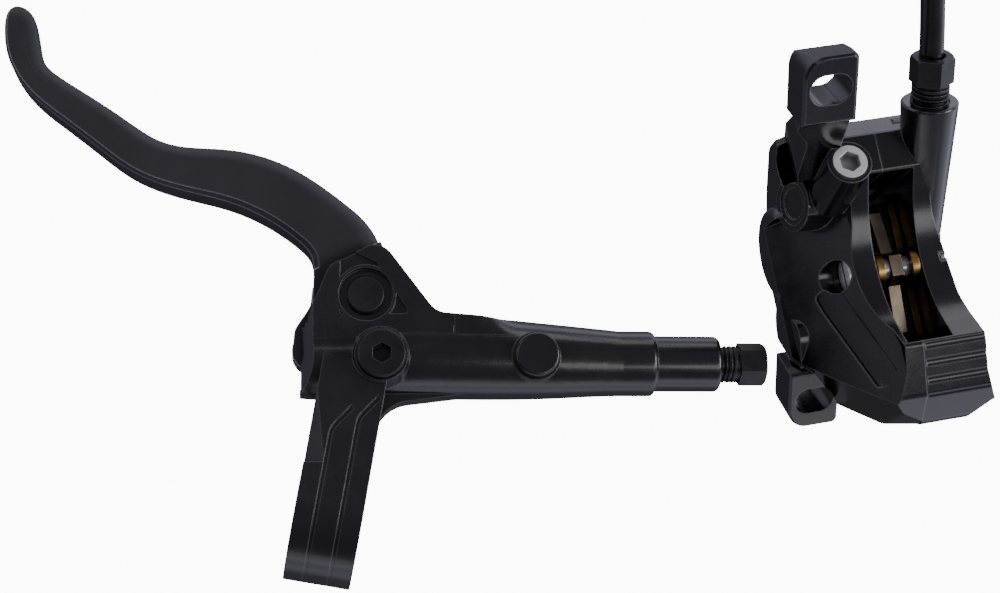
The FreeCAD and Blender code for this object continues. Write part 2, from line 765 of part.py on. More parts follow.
def caliper_profile():
    """Side outline: flat bridge, dipped window rim, sloped foot, flat base that rests on the floor."""
    return [(24.3, rail_top, 1.0), (16.4, rail_top, 1.0), (-2.0, 9.4, 24.0), (-20.6, rail_top, 1.0),
            (-31.0, 19.0, 3.0), (-36.0, 12.0, 3.0), (-33.5, 2.0, 3.0), (-20.0, floor_z, 4.0),
            (8.5, floor_z, 4.0), (22.0, -2.0, 6.0), (29.3, 6.0, 4.0), (29.3, 17.5, 1.5)]


def in_caliper(shape):
    shape.Placement = caliper_place.multiply(shape.Placement)
    return shape


def post_ear(centre, away):
    """Slotted ear square to the bolt, centred on the point where the bolt axis meets its top face."""
    half = ear_width / 2
    front, side = [], []
    for u, v, r in ((-half, -ear_foot, 0), (half, -ear_foot, 0), (half, ear_reach, 1.5),
                    (-half, ear_reach, ear_corner)):
        front.append((centre + Vector(u, 0, 0) + mount_v * (v * away) - mount_w * ear_plate, r))
    for v, w in ((-ear_foot, 0), (ear_reach, 0), (ear_reach - ear_slant, -ear_plate),
                 (-ear_foot, -ear_plate)):
        side.append((centre - Vector(half, 0, 0) + mount_v * (v * away) + mount_w * w, 0))
    plate = prism(front, mount_w * ear_plate).common(prism(side, Vector(ear_width, 0, 0)))
    edges = [e for e in plate.Edges if abs((e.CenterOfMass - centre).dot(mount_w)) < 0.01]
    return plate.makeChamfer(0.6, edges)


def post_room(centre, away):
    """Room under an ear, with leaning walls, so that the flat face of a post can lie against it."""
    half = ear_width / 2 + post_room_clear
    low = post_room_depth
    lean = post_room_lean * low
    top = centre - mount_w * ear_plate
    across, along = [], []
    for u, w in ((-half, 0), (half, 0), (half + lean, -low), (-half - lean, -low)):
        across.append((top + Vector(u, 0, 0) + mount_w * w - mount_v * (away * (ear_foot + lean)), 0))
    for v, w in ((-ear_foot, 0), (ear_reach + 1, 0), (ear_reach + 1, -low), (-ear_foot - lean, -low)):
        along.append((top + mount_v * (v * away) + mount_w * w - Vector(half + lean, 0, 0), 0))
    run = mount_v * (away * (ear_foot + ear_reach + lean + 1))
    return prism(across, run).common(prism(along, Vector(2 * (half + lean), 0, 0)))


def post_slot(centre):
    run = slot_length / 2 - slot_half_width
    base = centre - mount_w * (ear_plate + 2)
    depth = ear_plate + 4
    left = rod(slot_half_width, base - Vector(run, 0, 0), mount_w, depth)
    right = rod(slot_half_width, base + Vector(run, 0, 0), mount_w, depth)
    a = base + Vector(-run, 0, 0) - mount_v * slot_half_width
    b = base + Vector(run, 0, 0) - mount_v * slot_half_width
    c = base + Vector(run, 0, 0) + mount_v * slot_half_width
    d = base + Vector(-run, 0, 0) + mount_v * slot_half_width
    middle = Part.Face(Part.makePolygon([a, b, c, d, a])).extrude(mount_w * depth)
    return fused([left, right, middle])


def upper_neck():
    top = upper_ear - mount_v * (ear_foot - 1.5) - mount_w * neck_step
    foot = upper_ear - mount_v * (ear_foot - 1.5) - mount_w * (ear_plate - 0.4)
    body = side_prism([(top.y, top.z, 0), (foot.y, foot.z, 0), (29.0, 30.0, 4), (29.3, 17.0, 4),
                       (29.3, 6.0, 0),
                       (20.0, 6.0, 0), (16.8, 22.0, 2)], -30.0, 0)
    shape = [(-12.7, 60, 0), (ear_u - ear_width / 2 + 0.4, 60, 0), (ear_u - ear_width / 2 + 0.4, 38.5, 2),
             (-20.3, 34.0, 3), (-20.3, 24.0, 4), (-17.2, 12.0, 0), (-17.2, 4.0, 0), (-12.7, 4.0, 0)]
    return body.common(cross_prism(shape, 0, 60))


def lower_neck():
    top = lower_ear + mount_v * (ear_foot - 1.5) - mount_w * neck_step
    foot = lower_ear + mount_v * (ear_foot - 1.5) - mount_w * (ear_plate - 0.4)
    neck = side_prism([(top.y, top.z, 0), (-9.0, 6.0, 4), (-6.0, -10.0, 0), (-8.0, floor_z, 0),
                       (-13.5, floor_z, 0), (foot.y, foot.z, 0)],
                      lower_neck_u, ear_u + ear_width / 2 - 0.4)
    return neck


def shared_caliper_cuts():
    cuts = [block((-window_half, window_low, -30), (window_half, window_high, 50)),
            block((-rotor_slot_half, -60, -30), (rotor_slot_half, 60, rotor_top)),
            rod(axle_radius + pin_clear, Vector(-30, axle_s, axle_n), along_x, 60)]
    for s in piston_spots:
        depth = window_half + piston_depth + 0.6
        cuts.append(rod(caliper_piston_radius + piston_clear, Vector(-depth, s, 0), along_x, 2 * depth))
        groove = caliper_piston_radius + seal_height
        for side in (-1, 1):
            start = side * (window_half + 2.0)
            low = start if side > 0 else start - seal_width
            cuts.append(rod(groove, Vector(low, s, 0), along_x, seal_width))
    upper_start = Vector(upper_bolt_head_u - 1, upper_bolt[0], upper_bolt[1])
    cuts.append(rod(body_bolt_radius + thread_clear, upper_start, along_x, upper_bolt_end_u
                    - upper_bolt_head_u + 1.5))
    lower_start = Vector(lower_bolt_end_u - 0.5, lower_bolt[0], lower_bolt[1])
    cuts.append(rod(body_bolt_radius + thread_clear, lower_start, along_x, lower_bolt_head_u
                    - lower_bolt_end_u + 1.5))
    return cuts


def housing(end, start, rounding):
    pieces = []
    for s in piston_spots:
        low = min(start, end)
        lump = rod(housing_radius, Vector(low, s, 0), along_x, abs(end - start))
        rim = [e for e in lump.Edges if abs(e.CenterOfMass.x - end) < 0.01 and e.Length > 5]
        pieces.append(lump.makeFillet(rounding, rim))
    return pieces


def flank_u(n):
    """Where the inner half's flat flank is at height n."""
    return -window_half - rail_width + (n - flank_n) / flank_slope


def inner_flank_cuts():
    """Flat flank over the piston housings, its upper edge drawn in towards the foot."""
    top, low = rail_top + 0.5, -4.0
    edge = -window_half - rail_width
    flank = cross_prism([(edge, 60, 0), (edge, flank_n, 1.5), (flank_u(low), low, 0), (-40, low, 0),
                         (-40, 60, 0)],
                        -60, 13.2)
    outside = cross_prism([(flank_u(top), 60, 0), (flank_u(top), top, 0), (flank_u(low), low, 0),
                           (-40, low, 0),
                           (-40, 60, 0)], -60, 13.2)
    drawn_in = plan_prism([(edge, -1.0, 0), (-window_half - 0.9, -20.5, 0), (-window_half - 0.9, -60, 0),
                           (-40, -60, 0), (-40, -1.0, 0)], -20, 60)
    shoulder = cross_prism([(-13.6, 60, 0), (-13.6, 18.0, 2), (-22.0, 8.0, 0), (-40, 8.0, 0),
                            (-40, 60, 0)], 13.2, 60)
    corner = plan_prism([(-23.0, -14.0, 0), (-19.6, -19.0, 4), (-15.2, -24.0, 3), (-10.2, -29.4, 4),
                         (-6.4, -33.4, 3), (1.0, -36.5, 0),
                         (-60, -36.5, 0), (-60, -14.0, 0)], -30, 60)
    return [flank, outside.common(drawn_in), shoulder, corner]


def flank_strip():
    """Shallow bare strip that runs down the flank towards the foot."""
    strip = plan_prism([(-17.0, -2.2, 1.5), (-12.4, -5.4, 1.5), (-7.0, -24.6, 1.0), (-9.8, -28.6, 1.0),
                        (-15.6, -8.6, 3.0)], -20, 60)
    tilt = math.hypot(flank_slope, 1)
    inward = Vector(flank_slope / tilt, 0, -1 / tilt)
    upper = Vector(flank_u(40), -60, 40) + inward * strip_depth
    lower = Vector(flank_u(-8), -60, -8) + inward * strip_depth
    face = [(upper, 0), (lower, 0), (lower - inward * 20, 0), (upper - inward * 20, 0)]
    return strip.common(prism(face, Vector(0, 120, 0)))


def caliper_inner_half():
    body = fused([side_prism(caliper_profile(), -body_low_half, seam_u)]
                 + housing(inner_housing_end, -9.0, inner_housing_round))
    for tool in inner_flank_cuts():
        body = body.cut(tool)
    axis = Vector(*bleed_axis).normalize()
    bleed = rod(bleed_boss, Vector(*bleed_face) - axis * bleed_boss_length, axis, bleed_boss_length)
    passage = Vector(*passage_axis).normalize()
    plug = rod(passage_boss, Vector(*passage_face) - passage * 14, passage, 14)
    solid = fused([body, bleed, plug, upper_neck(), lower_neck(), post_ear(upper_ear, 1),
                   post_ear(lower_ear, -1)])
    cuts = shared_caliper_cuts()
    cuts += [post_room(lower_ear, -1), post_slot(upper_ear), post_slot(lower_ear)]
    cuts.append(flank_strip())
    cuts.append(rod(caliper_bleed_shank + thread_clear, Vector(*bleed_face)
                    - axis * (caliper_bleed_length + 0.5), axis, 20))
    cuts.append(rod(caliper_bleed_radius + 0.15, Vector(*bleed_face) - axis * caliper_bleed_head, axis, 9))
    cuts.append(rod(passage_plug_radius + 0.1, Vector(*passage_face) - passage * passage_plug_depth,
                    passage, 9))
    cuts.append(rod(body_bolt_head_radius + 0.4, Vector(-40, upper_bolt[0], upper_bolt[1]), along_x,
                    40 + upper_bolt_head_u))
    cuts.append(rod(axle_head_radius + 0.2, Vector(-40, axle_s, axle_n), along_x, 40 + axle_head_u
                    + axle_head_length))
    cuts.append(block((-60, -60, -60), (60, 60, floor_z)))
    for tool in cuts:
        solid = solid.cut(tool)
    return solid.removeSplitter()


def foot_ribs():
    """Three grooves leave rounded ribs across the sloped foot of the outer half."""
    start = Vector(-1.5, -21.6, 24.4)
    step = Vector(0, -3.4, -1.47)
    return [rod(1.5, start + step * i, along_x, 20) for i in range(4)]


def outer_flank_cuts():
    """Flank that flares towards the foot, then the foot's own sloped side and its rounded corner."""
    edge, low = outer_flank_u, -21.0
    flank = prism([(Vector(edge, low, 60), 0), (Vector(edge, low, flank_n), 1.5),
                   (Vector(edge + 7.0, low, 0.0), 0),
                   (Vector(60, low, 0.0), 0), (Vector(60, low, 60), 0)], Vector(outer_flank_drift * 81, 81, 0))
    foot = cross_prism([(edge, 60, 0), (edge, 20.5, 2), (edge + 7.4, 3.0, 3), (60, 3.0, 0),
                        (60, 60, 0)], -60, low)
    corner = plan_prism([(19.5, -21.0, 0), (18.0, -27.0, 3), (15.4, -32.4, 3), (7.0, -36.5, 0),
                         (60, -36.5, 0),
                         (60, -21.0, 0)], -30, 60)
    return [flank, foot, corner]


def caliper_outer_half():
    body = side_prism(caliper_profile(), seam_u, 19.4)
    for tool in outer_flank_cuts():
        body = body.cut(tool)
    body = body.cut(block((16.4, -21.0, -60), (60, 60, 60)))
    top = Vector(port_u, port_s, port_n)
    boss = Part.makeCone(port_radius, port_root_radius, port_boss_length, top, port_axis * -1)
    boss = boss.makeFillet(0.5, [e for e in boss.Edges if (e.CenterOfMass - top).Length < 0.01])
    web = side_prism([(28.0, 22.0, 2), (28.0, 5.0, 2), (8.0, 3.0, 2), (8.0, 14.0, 2)], 4.0, 13.0)
    solid = fused([body, boss, web] + housing(outer_housing_end, 7.0, outer_housing_round))
    cuts = shared_caliper_cuts() + foot_ribs()
    cuts.append(rod(port_thread_radius + thread_clear, top - port_axis * (nut_thread_in + 4.0),
                    port_axis, 40))
    cuts.append(rod(body_bolt_head_radius + 0.4, Vector(lower_bolt_head_u, lower_bolt[0],
                                                        lower_bolt[1]), along_x, 30))
    cuts.append(rod(axle_pocket_radius, Vector(axle_pocket_u, axle_s, axle_n), along_x, 30))
    cuts.append(block((-60, -60, -60), (60, 60, floor_z)))
    for tool in cuts:
        solid = solid.cut(tool)
    return solid.removeSplitter()


def caliper_piston(side, s):
    start = window_half - lining_gap()
    radius = caliper_piston_radius
    low = start if side > 0 else -start - piston_depth
    cup = rod(radius, Vector(low, s, 0), along_x, piston_depth)
    hollow_low = start - 1 if side > 0 else -start - piston_depth + 2.0
    hollow = rod(radius - 1.8, Vector(hollow_low, s, 0), along_x, piston_depth - 1.0)
    return cup.cut(hollow)


def lining_gap():
    return window_half - (lining_face + lining_thickness + plate_thickness)


def piston_seal(side, s):
    start = side * (window_half + 2.0)
    low = start if side > 0 else start - seal_width
    outer = caliper_piston_radius + seal_height
    return ring(outer - 0.03, caliper_piston_radius + 0.02, Vector(low + 0.05, s, 0), along_x,
                seal_width - 0.1)


def pad_outline(inset, top):
    low, high = pad_low + inset, pad_high - inset
    return [(low, pad_bottom + inset, pad_round), (high, pad_bottom + inset, pad_round),
            (high, top, pad_round),
            (low, top, pad_round)]


def pad_plate(side):
    start = lining_face + lining_thickness
    low = start if side > 0 else -start - plate_thickness
    plate = side_prism(pad_outline(0, pad_shoulder), low, low + plate_thickness)
    lug = rod(pad_ear_radius, Vector(low, axle_s, axle_n + 0.2), along_x, plate_thickness)
    hole = rod(axle_radius + 0.25, Vector(-20, axle_s, axle_n), along_x, 40)
    return plate.fuse(lug).cut(hole).removeSplitter()


def pad_lining(side):
    low = lining_face if side > 0 else -lining_face - lining_thickness
    middle = (pad_low + pad_high) / 2
    block_shape = side_prism(pad_outline(lining_inset, lining_top), low, low + lining_thickness)
    groove = block((-9, middle - 0.5, -40), (9, middle + 0.5, 40))
    face = block((-lining_face - 1.0, -60, -60), (lining_face + 1.0, 60, 60))
    return block_shape.cut(groove.common(face))


def pad_axle():
    head = rod(axle_head_radius, Vector(axle_head_u, axle_s, axle_n), along_x, axle_head_length)
    shaft = rod(axle_radius, Vector(axle_head_u + axle_head_length, axle_s, axle_n), along_x,
                axle_end_u - axle_head_u - axle_head_length)
    slot = block((axle_head_u - 1, axle_s - 9, axle_n - 0.5), (axle_head_u + 1.2, axle_s + 9, axle_n + 0.5))
    groove = ring(axle_radius + 1, axle_radius - 0.5, Vector(axle_end_u - 1.3, axle_s, axle_n), along_x,
                  0.6)
    return head.fuse(shaft).cut(slot).cut(groove).removeSplitter()


def axle_clip():
    clip = ring(axle_radius + 1.3, axle_radius - 0.45, Vector(axle_end_u - 1.3, axle_s, axle_n),
                along_x, 0.6)
    return clip.cut(block((-40, axle_s - 1.0, axle_n), (40, axle_s + 1.0, axle_n + 9)))


def pad_spring():
    """Bent strip between the pads: a bridge over the axle and a leg along each lining's top."""
    over = axle_n + axle_radius + 0.15
    thick = 0.4
    leg = lining_top + 0.6
    path = [(axle_s - 13.5, leg), (axle_s - 3.6, leg + 1.8), (axle_s - 2.2, over + thick),
            (axle_s + 2.2, over + thick), (axle_s + 3.6, leg + 1.8), (axle_s + 13.0, leg)]
    upper = [(s, n, 0) for s, n in path]
    lower = [(s, n - thick, 0) for s, n in reversed(path)]
    return side_prism(upper + lower, -1.3, 1.3)


def body_bolt(spot, head_u, end, side):
    s, n = spot
    head_low = head_u if side > 0 else head_u - body_bolt_head_height
    head = rod(body_bolt_head_radius, Vector(head_low, s, n), along_x, body_bolt_head_height)
    shank = rod(body_bolt_radius, Vector(min(head_u, end), s, n), along_x, abs(end - head_u))
    outer_face = head_u + side * body_bolt_head_height
    socket_low = outer_face - 2.6 if side > 0 else outer_face
    socket = hexagon(4.0, Vector(socket_low, s, n), along_x, 2.6)
    return head.fuse(shank).cut(socket).removeSplitter()


def caliper_bleed_screw():
    axis = Vector(*bleed_axis).normalize()
    face = Vector(*bleed_face)
    head = rod(caliper_bleed_radius, face - axis * caliper_bleed_head, axis, caliper_bleed_head + 0.4)
    shank = rod(caliper_bleed_shank, face - axis * caliper_bleed_length, axis, caliper_bleed_length)
    socket = hexagon(4.0, face - axis * 1.9, axis, 4)
    return head.fuse(shank).cut(socket).removeSplitter()


def passage_plug():
    axis = Vector(*passage_axis).normalize()
    base = Vector(*passage_face) - axis * passage_plug_depth
    plug = rod(passage_plug_radius, base, axis, passage_plug_depth - 0.2)
    dish = rod(passage_plug_radius - 1.0, base + axis * (passage_plug_depth - 0.6), axis, 2)
    return plug.cut(dish)


# Hose

def hose_start():
    return caliper_place.multVec(Vector(port_u, port_s, port_n) - port_axis * hose_depth_in_port)


def hose_exit():
    reach = nut_shown_thread + nut_length
    return caliper_place.multVec(Vector(port_u, port_s, port_n) + port_axis * (reach + hose_straight))


def arc_path(points):
    """Straight runs joined by tangent arcs as large as the shorter run beside each point allows."""
    edges = []
    current = points[0]
    for i in range(1, len(points) - 1):
        a = (points[i - 1] - points[i])
        b = (points[i + 1] - points[i])
        shorter = min(a.Length, b.Length)
        a.normalize()
        b.normalize()
        half_turn = (math.pi - a.getAngle(b)) / 2
        reach = 0.45 * shorter
        radius = reach / math.tan(half_turn)
        print("hose arc radius", round(radius, 1), "turn", round(math.degrees(2 * half_turn), 1))
        start = points[i] + a * reach
        end = points[i] + b * reach
        middle = points[i] + (a + b).normalize() * (radius / math.cos(half_turn) - radius)
        edges.append(Part.LineSegment(current, start).toShape())
        edges.append(Part.Arc(start, middle, end).toShape())
        current = end
    edges.append(Part.LineSegment(current, points[-1]).toShape())
    return Part.Wire(edges)


def coil_ring():
    return ring(coil_outer, coil_inner, Vector(coil_x, coil_y, floor_z), up, coil_height)


def hose_run():
    landing = Vector(coil_x - coil_lead, coil_y, floor_z + hose_radius)
    points = [hose_start(), hose_exit()] + [Vector(*p) for p in hose_points] + [landing]
    path = arc_path(points)
    first = points[0]
    profile = Part.Wire([Part.makeCircle(hose_radius, first, points[1] - first)])
    tube = path.makePipeShell([profile], True, False)
    print("hose run length", round(path.Length, 1), "volume ratio",
          round(tube.Volume / (math.pi * hose_radius ** 2 * path.Length), 4))
    return tube.cut(coil_ring())


def tail_end():
    drop = math.sqrt(coil_outer ** 2 - coil_lead ** 2)
    return Vector(coil_x + coil_lead, coil_y - drop - tail_length, floor_z + olive_radius)


def hose_tail():
    end = tail_end()
    tube = rod(hose_radius, end, Vector(0, 1, 0), tail_length + 12)
    tube = tube.cut(coil_ring())
    piece = min(tube.Solids, key=lambda s: s.CenterOfMass.y)
    return piece.cut(rod(insert_bore + 0.5, end, Vector(0, 1, 0), 8))


def hose_end_olive():
    start = tail_end() + Vector(0, 1.5, 0)
    barrel_piece = ring(olive_radius, hose_radius + 0.03, start, Vector(0, 1, 0), olive_length)
    cone = Part.makeCone(olive_radius - 0.9, olive_radius + 0.6, olive_length / 2, start, Vector(0, 1, 0))
    other = Part.makeCone(olive_radius + 0.6, olive_radius - 0.9, olive_length / 2,
                          start + Vector(0, olive_length / 2, 0), Vector(0, 1, 0))
    return barrel_piece.common(cone.fuse(other))


def hose_end_insert():
    end = tail_end()
    back = Vector(0, 1, 0)
    flange = rod(insert_flange_radius, end - back * insert_flange_length, back, insert_flange_length)
    stem = rod(insert_bore + 0.45, end, back, 7.5)
    return flange.fuse(stem).cut(rod(insert_bore, end - back * 3, back, 20)).removeSplitter()


def caliper_olive():
    start = Vector(port_u, port_s, port_n) - port_axis * (nut_thread_in + 3.6)
    length = 3.4
    return ring(port_thread_radius - 0.1, hose_radius + 0.03, start, port_axis, length)


# Everything by name

def build():
    lever_port = Vector(nozzle_end, axis_y, 0)
    port = Vector(port_u, port_s, port_n)
    nodes = {
        "master_cylinder_body": master_cylinder_body(),
        "clamp_bolt": clamp_bolt(),
        "brake_lever_blade": brake_lever_blade(),
        "pivot_bush_upper": pivot_bush(1),
        "pivot_bush_lower": pivot_bush(-1),
        "pivot_pin": pivot_pin(),
        "pivot_clip": pivot_clip(),
        "push_rod": push_rod(),
        "push_rod_pin": push_rod_pin(),
        "master_piston": master_piston(),
        "secondary_cup": piston_cup(0),
        "primary_cup": piston_cup(1),
        "piston_return_spring": return_spring(),
        "bore_circlip": bore_circlip(),
        "reservoir_diaphragm": reservoir_diaphragm(),
        "reservoir_lid": reservoir_lid(),
        "lid_screw_near": lid_screw(lid_screw_spots()[0]),
        "lid_screw_far": lid_screw(lid_screw_spots()[1]),
        "lever_bleed_screw": lever_bleed_screw(),
        "lever_bleed_washer": bleed_washer(),
        "port_plug": port_plug(),
        "lever_hose_nut": hose_nut(lever_port, along_x),
    }
    caliper = {
        "caliper_inner_half": caliper_inner_half(),
        "caliper_outer_half": caliper_outer_half(),
        "body_bolt_upper": body_bolt(upper_bolt, upper_bolt_head_u, upper_bolt_end_u, -1),
        "body_bolt_lower": body_bolt(lower_bolt, lower_bolt_head_u, lower_bolt_end_u, 1),
        "passage_plug": passage_plug(),
        "caliper_bleed_screw": caliper_bleed_screw(),
        "pad_axle": pad_axle(),
        "axle_clip": axle_clip(),
        "pad_spring": pad_spring(),
        "caliper_hose_nut": hose_nut(port, port_axis),
        "caliper_olive": caliper_olive(),
    }
    for side, name in ((-1, "inner"), (1, "outer")):
        caliper[name + "_pad_plate"] = pad_plate(side)
        caliper[name + "_pad_lining"] = pad_lining(side)
        for s, place in zip(piston_spots, ("upper", "lower")):
            caliper[name + "_piston_" + place] = caliper_piston(side, s)
            caliper[name + "_seal_" + place] = piston_seal(side, s)
    for name, shape in caliper.items():
        nodes[name] = in_caliper(shape)
    nodes["hose_run"] = hose_run()
    nodes["hose_coil"] = coil_ring()
    nodes["hose_tail"] = hose_tail()
    nodes["hose_end_olive"] = hose_end_olive()
    nodes["hose_end_insert"] = hose_end_insert()
    return nodes


os.makedirs("parts", exist_ok=True)
for node, shape in build().items():
    print(node, "solids", len(shape.Solids), "valid", shape.isValid(), "volume", round(shape.Volume, 1))
    shape.exportStep("parts/" + node + ".step")
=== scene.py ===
import json
import math

import bmesh
import bpy
from mathutils import Matrix, Vector


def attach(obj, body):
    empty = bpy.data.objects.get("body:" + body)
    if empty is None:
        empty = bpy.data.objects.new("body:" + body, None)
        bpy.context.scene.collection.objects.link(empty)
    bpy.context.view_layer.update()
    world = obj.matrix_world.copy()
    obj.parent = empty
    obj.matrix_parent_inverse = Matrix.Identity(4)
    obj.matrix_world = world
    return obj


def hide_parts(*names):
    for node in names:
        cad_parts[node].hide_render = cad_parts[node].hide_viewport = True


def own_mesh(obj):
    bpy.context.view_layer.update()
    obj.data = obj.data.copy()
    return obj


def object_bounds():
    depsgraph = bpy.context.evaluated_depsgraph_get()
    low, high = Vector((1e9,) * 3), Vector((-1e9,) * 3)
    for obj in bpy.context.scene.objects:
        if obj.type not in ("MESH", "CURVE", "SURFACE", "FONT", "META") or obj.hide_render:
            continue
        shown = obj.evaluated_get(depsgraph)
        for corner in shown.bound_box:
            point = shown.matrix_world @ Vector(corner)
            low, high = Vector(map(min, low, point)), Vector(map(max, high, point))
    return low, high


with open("model.json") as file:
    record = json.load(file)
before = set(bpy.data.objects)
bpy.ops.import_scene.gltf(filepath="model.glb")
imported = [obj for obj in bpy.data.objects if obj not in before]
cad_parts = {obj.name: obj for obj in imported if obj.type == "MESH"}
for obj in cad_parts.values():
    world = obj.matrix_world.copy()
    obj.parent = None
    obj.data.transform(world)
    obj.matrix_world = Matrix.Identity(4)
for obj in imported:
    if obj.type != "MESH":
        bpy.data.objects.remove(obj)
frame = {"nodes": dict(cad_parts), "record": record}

cadLow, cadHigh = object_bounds()
print("frame loaded, pieces:", len(frame["nodes"]))


# Camera, at the photograph's viewing angle

shot = {
    "place": (-0.005, -0.035, 0.360),  # metres
    "right": (0.993828, -0.015639, 0.109828),
    "upward": (-0.008999, 0.975386, 0.220322),
    "backward": (-0.11057, -0.21995, 0.969225),
    "lens": 62.9798,  # mm, as the sensor
    "sensor": 36.0,
    "nearest": 0.01,
}


def addCamera():
    data = bpy.data.cameras.new("photoCamera")
    data.lens = shot["lens"]
    data.sensor_width = shot["sensor"]
    data.clip_start = shot["nearest"]
    camera = bpy.data.objects.new("photoCamera", data)
    bpy.context.collection.objects.link(camera)
    turn = Matrix((shot["right"], shot["upward"], shot["backward"])).transposed()
    place = turn.to_4x4()
    place.translation = Vector(shot["place"])
    camera.matrix_world = place
    bpy.context.scene.camera = camera


addCamera()
print("camera placed")


# Shader helpers

shading = {
    "noiseMiddle": (0.3, 0.7),  # the middle of a noise's values
    "hollow": (0.35, 0.95),  # share of open surroundings, from deep inside to outside
    "corner": (0.995, 0.80),  # agreement of softened and true normal, from no edge to a full edge
    "samples": 6,
    "blotchDetail": 4,
    "glossDetail": 5,
    "grainDetail": 3,
}
usual = {"depth": 0.003, "shade": 0.25, "grainDepth": 0.00005, "metal": 0.0, "specular": 0.5, "coat": 0.0,
         "coatRough": 0.1, "brushed": 0.0}  # for what a look leaves out


def link(tree, fromNode, fromName, toNode, toName):
    tree.links.new(fromNode.outputs[fromName], toNode.inputs[toName])


def newNode(tree, kind, at, **values):
    node = tree.nodes.new(kind)
    node.location = at
    for name, value in values.items():
        node.inputs[name.replace("_", " ")].default_value = value
    return node


def noiseNode(tree, coords, scale, detail, at):
    node = newNode(tree, "ShaderNodeTexNoise", at, Scale=scale, Detail=detail)
    link(tree, coords, "Object", node, "Vector")
    return node


def rangeNode(tree, source, output, given, wanted, at):  # maps given[0]..given[1] to wanted[0]..wanted[1]
    node = newNode(tree, "ShaderNodeMapRange", at, From_Min=given[0], From_Max=given[1],
                   To_Min=wanted[0], To_Max=wanted[1])
    link(tree, source, output, node, "Value")
    return node


def colourMix(tree, at, blend):  # sockets: 0 the share, 6 and 7 the colours, output 2 the result
    mix = newNode(tree, "ShaderNodeMix", at)
    mix.data_type = "RGBA"
    mix.blend_type = blend
    return mix


def tintRamp(tree, source, dark, light, at):
    ramp = newNode(tree, "ShaderNodeValToRGB", at)
    for stop, place, colour in zip(ramp.color_ramp.elements, shading["noiseMiddle"], (dark, light)):
        stop.position = place
        stop.color = (*colour, 1)
    link(tree, source, "Fac", ramp, "Fac")
    return ramp


# Painted shade: darkens the colour inside sockets, slots and corners, the more the less open surroundings
# ambient occlusion finds there
def paintHollowShade(tree, ramp, depth, shade):
    hollow = newNode(tree, "ShaderNodeAmbientOcclusion", (-700, 700), Distance=depth)
    hollow.samples = shading["samples"]
    share = rangeNode(tree, hollow, "AO", shading["hollow"], (shade, 1.0), (-500, 700))
    mix = colourMix(tree, (-450, 500), "MULTIPLY")
    mix.inputs[0].default_value = 1.0
    link(tree, ramp, "Color", mix, 6)
    link(tree, share, "Result", mix, 7)
    return mix


# Painted highlight: lightens the paint where the surface turns a corner, as a bright line along the edges
def paintEdgeHighlight(tree, bevel, paint, shader, tint):
    plain = newNode(tree, "ShaderNodeNewGeometry", (-1000, -700))
    compare = newNode(tree, "ShaderNodeVectorMath", (-500, -600))
    compare.operation = "DOT_PRODUCT"
    link(tree, bevel, "Normal", compare, 0)
    link(tree, plain, "Normal", compare, 1)
    highlightShare = rangeNode(tree, compare, "Value", shading["corner"], (0.0, 1.0), (-300, -600))
    mix = colourMix(tree, (-300, 400), "MIX")
    mix.inputs[7].default_value = (*tint, 1)
    link(tree, highlightShare, "Result", mix, 0)
    link(tree, paint, 2, mix, 6)
    link(tree, mix, 2, shader, "Base Color")


# One paint, metal or rubber: blotchy tint, painted shade in hollows, uneven gloss, a fine grain, softened
# edges and, where the look gives one, a painted highlight along the edges
def makeFinish(name, ownLook):
    look = {**usual, **ownLook}
    material = bpy.data.materials.new(name)
    material.use_nodes = True
    tree = material.node_tree
    shader = tree.nodes["Principled BSDF"]
    coords = newNode(tree, "ShaderNodeTexCoord", (-1300, 0))
    blotch = noiseNode(tree, coords, look["blotchScale"], shading["blotchDetail"], (-1000, 300))
    ramp = tintRamp(tree, blotch, look["dark"], look["light"], (-700, 400))
    # base colour with painted shade in its hollows
    paint = paintHollowShade(tree, ramp, look["depth"], look["shade"])
    link(tree, paint, 2, shader, "Base Color")
    gloss = noiseNode(tree, coords, look["glossScale"], shading["glossDetail"], (-1000, 0))
    rough = rangeNode(tree, gloss, "Fac", shading["noiseMiddle"], (look["smooth"], look["rough"]), (-700, 0))
    link(tree, rough, "Result", shader, "Roughness")
    grain = noiseNode(tree, coords, look["grainScale"], shading["grainDetail"], (-1000, -300))
    bump = newNode(tree, "ShaderNodeBump", (-400, -300), Strength=look["grain"], Distance=look["grainDepth"])
    link(tree, grain, "Fac", bump, "Height")
    if look.get("edge"):
        bevel = newNode(tree, "ShaderNodeBevel", (-700, -500), Radius=look["edge"])
        bevel.samples = shading["samples"]
        link(tree, bevel, "Normal", bump, "Normal")
        # painted highlight along the edges, in the colour the look gives
        if look.get("edgeHighlight"):
            paintEdgeHighlight(tree, bevel, paint, shader, look["edgeHighlight"])
    link(tree, bump, "Normal", shader, "Normal")
    shader.inputs["Metallic"].default_value = look["metal"]
    shader.inputs["Specular IOR Level"].default_value = look["specular"]
    shader.inputs["Coat Weight"].default_value = look["coat"]
    shader.inputs["Coat Roughness"].default_value = look["coatRough"]
    shader.inputs["Anisotropic"].default_value = look["brushed"]
    return material


# Finishes of the real pieces: scales per metre, grainDepth, depth and edge in metres. Depth and shade set
# each look's painted shade in hollows; the colour given for the edges is a painted highlight along the
# corners

castingLook = {"dark": (0.006, 0.006, 0.008), "light": (0.011, 0.010, 0.014), "blotchScale": 60,
               "smooth": 0.20, "rough": 0.30, "glossScale": 220, "grainScale": 1400, "grain": 0.10,
               "coat": 0.5, "coatRough": 0.14, "edge": 0.0004, "edgeHighlight": (0.095, 0.092, 0.110)}
